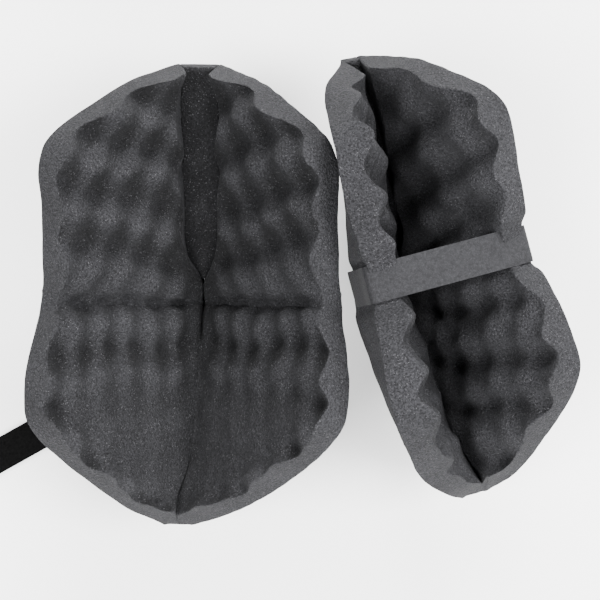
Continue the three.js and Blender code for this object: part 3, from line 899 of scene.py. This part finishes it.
def foam_material():
    """Charcoal foam with pores and light flecks, its colour darkened by painted shade, most in the
    valleys and deep near the spine.
    """
    m = Nodes("foam", Roughness=0.95, Specular_IOR_Level=0.15)
    clouds = m.greys(m.noise(28, 4, 0.6), (0.3, 0.7), FOAM_GREYS, FOAM_BLUE)
    pores = m.greys(m.noise(720, 3, 0.65), (0.36, 0.64), (0.35, 1.6))
    body = m.mix(0.9, clouds, pores, "MULTIPLY")
    # painted shade: the foam's colour is darkened where the attribute is high
    painted_shade = m.node("Attribute", attribute_name="painted_shade").outputs["Fac"]
    dark = m.greys(painted_shade, (0.2, 0.95), (1.0, DARKEST_PAINTED_SHADE))
    shaded = m.mix(0.9, body, dark, "MULTIPLY")
    flecks = m.greys(m.cells(760), (0.0, 0.3), (1.0, 0.0))
    sparse = m.greys(m.noise(420, 1), (0.48, 0.6), (0.0, 1.0))
    spots = m.mix(1.0, flecks, sparse, "MULTIPLY")
    m.colour(m.mix(spots, shaded, (*grey(FLECK_GREY, 1.05), 1)))
    grain = m.math("ADD", m.cells(700), m.math("MULTIPLY", m.noise(260, 3), 0.8))
    m.bump(grain, 0.0008, 0.9)
    return m.material


def strap_face_material():
    """Brushed grey loops."""
    m = Nodes("strap_face", Roughness=0.85, Sheen_Weight=0.02, Specular_IOR_Level=0.15)
    knit = m.cells(900)
    melange = m.greys(m.noise(420, 3, 0.6), (0.35, 0.65), FACE_GREYS, FOAM_BLUE)
    loops = m.greys(knit, (0.05, 0.6), (1.25, 0.6))
    m.colour(m.mix(0.7, melange, loops, "MULTIPLY"))
    m.bump(knit, 0.0004, 0.6)
    return m.material


def strap_backing_material():
    """Black woven side."""
    m = Nodes("strap_backing", Roughness=1.0, Specular_IOR_Level=0.02)
    pile = m.noise(700, 4, 0.7)
    m.colour(m.greys(pile, (0.3, 0.7), BACKING_GREYS))
    m.bump(pile, 0.0005, 0.7)
    return m.material


def hook_material():
    m = Nodes("hook_tape", Roughness=0.7, Specular_IOR_Level=0.12)
    hooks = m.cells(750)
    m.colour(m.greys(hooks, (0.1, 0.5), HOOK_GREYS[::-1]))
    m.bump(hooks, 0.0005, 0.9)
    return m.material


def patch_material():
    m = Nodes("loop_patch", Roughness=0.95, Sheen_Weight=0.05, Specular_IOR_Level=0.1)
    pile = m.noise(520, 4, 0.7)
    m.colour(m.greys(pile, (0.3, 0.7), PATCH_GREYS))
    m.bump(pile, 0.0006, 0.8)
    return m.material


def thread_material():
    m = Nodes("thread", Roughness=0.7, Specular_IOR_Level=0.2)
    twist = m.noise(900, 2)
    m.colour(m.greys(twist, (0.3, 0.7), THREAD_GREYS))
    m.bump(twist, 0.0003, 0.5)
    return m.material


materials = {
    "foam": foam_material(),
    "strap_face": strap_face_material(),
    "strap_backing": strap_backing_material(),
    "hook_tape": hook_material(),
    "loop_patch": patch_material(),
    "thread": thread_material(),
}


def finish_cad_nodes():
    """The CAD nodes for hook pads, stitching and patches get their slot's finish."""
    words = {"hook_pad": "hook_tape", "stitching": "thread", "patch": "loop_patch"}
    for name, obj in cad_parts.items():
        for word, slot in words.items():
            if name.endswith(word):
                obj.data.materials.clear()
                obj.data.materials.append(materials[slot])


# ---- the studio ----

def studio():
    m = Nodes("studio_floor", Roughness=0.9)
    m.colour(m.greys(m.noise(3, 2), (0.2, 0.8), FLOOR_GREYS))
    bpy.ops.mesh.primitive_plane_add(size=FLOOR_SIZE)
    floor = bpy.context.object
    floor.name = "floor"
    floor.data.materials.append(m.material)
    world = bpy.data.worlds.new("studio")
    bpy.context.scene.world = world
    world.use_nodes = True
    background = world.node_tree.nodes["Background"]
    background.inputs["Color"].default_value = (1, 1, 1, 1)
    background.inputs["Strength"].default_value = WORLD_LIGHT
    for name, place, power in LIGHTS:
        soft_light(name, place, power)


def soft_light(name, place, power):
    lamp = bpy.data.lights.new(name, "AREA")
    lamp.size = LIGHT_SIZE
    lamp.energy = power
    obj = bpy.data.objects.new(name, lamp)
    bpy.context.scene.collection.objects.link(obj)
    obj.location = place
    aim = Vector(LIGHT_AIM) - Vector(place)
    obj.rotation_euler = aim.to_track_quat("-Z", "Y").to_euler()


def camera():
    data = bpy.data.cameras.new("camera")
    data.sensor_width = SENSOR
    data.lens = SENSOR / 2 / tan(radians(CAMERA_VIEW) / 2)
    data.clip_end = 20
    obj = bpy.data.objects.new("camera", data)
    bpy.context.scene.collection.objects.link(obj)
    obj.location = Vector(CAMERA_PLACE) * MM
    obj.rotation_euler = (0, 0, 0)
    bpy.context.scene.camera = obj


# ---- build ----

def build_left_pad():
    """The left wing, the shin and the strip stay fixed in place; the right wing goes on the left
    pad's body.
    """
    start, end = (tuple(LEFT.world(np.array([x, 0.0, 0.0])) * MM) for x in (BEND_FROM, BEND_TO))
    for obj in (wing(LEFT, -1), shin(LEFT), strip(LEFT)):
        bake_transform(obj)
    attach(wing(LEFT, 1), "left_pad")


def build_right_pad():
    for obj in (wing(RIGHT, -1), wing(RIGHT, 1), shin(RIGHT), strip(RIGHT)):
        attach(obj, "right_pad")


build_left_pad()
build_right_pad()
closed_strap()
loose_strap()
finish_cad_nodes()
studio()
camera()
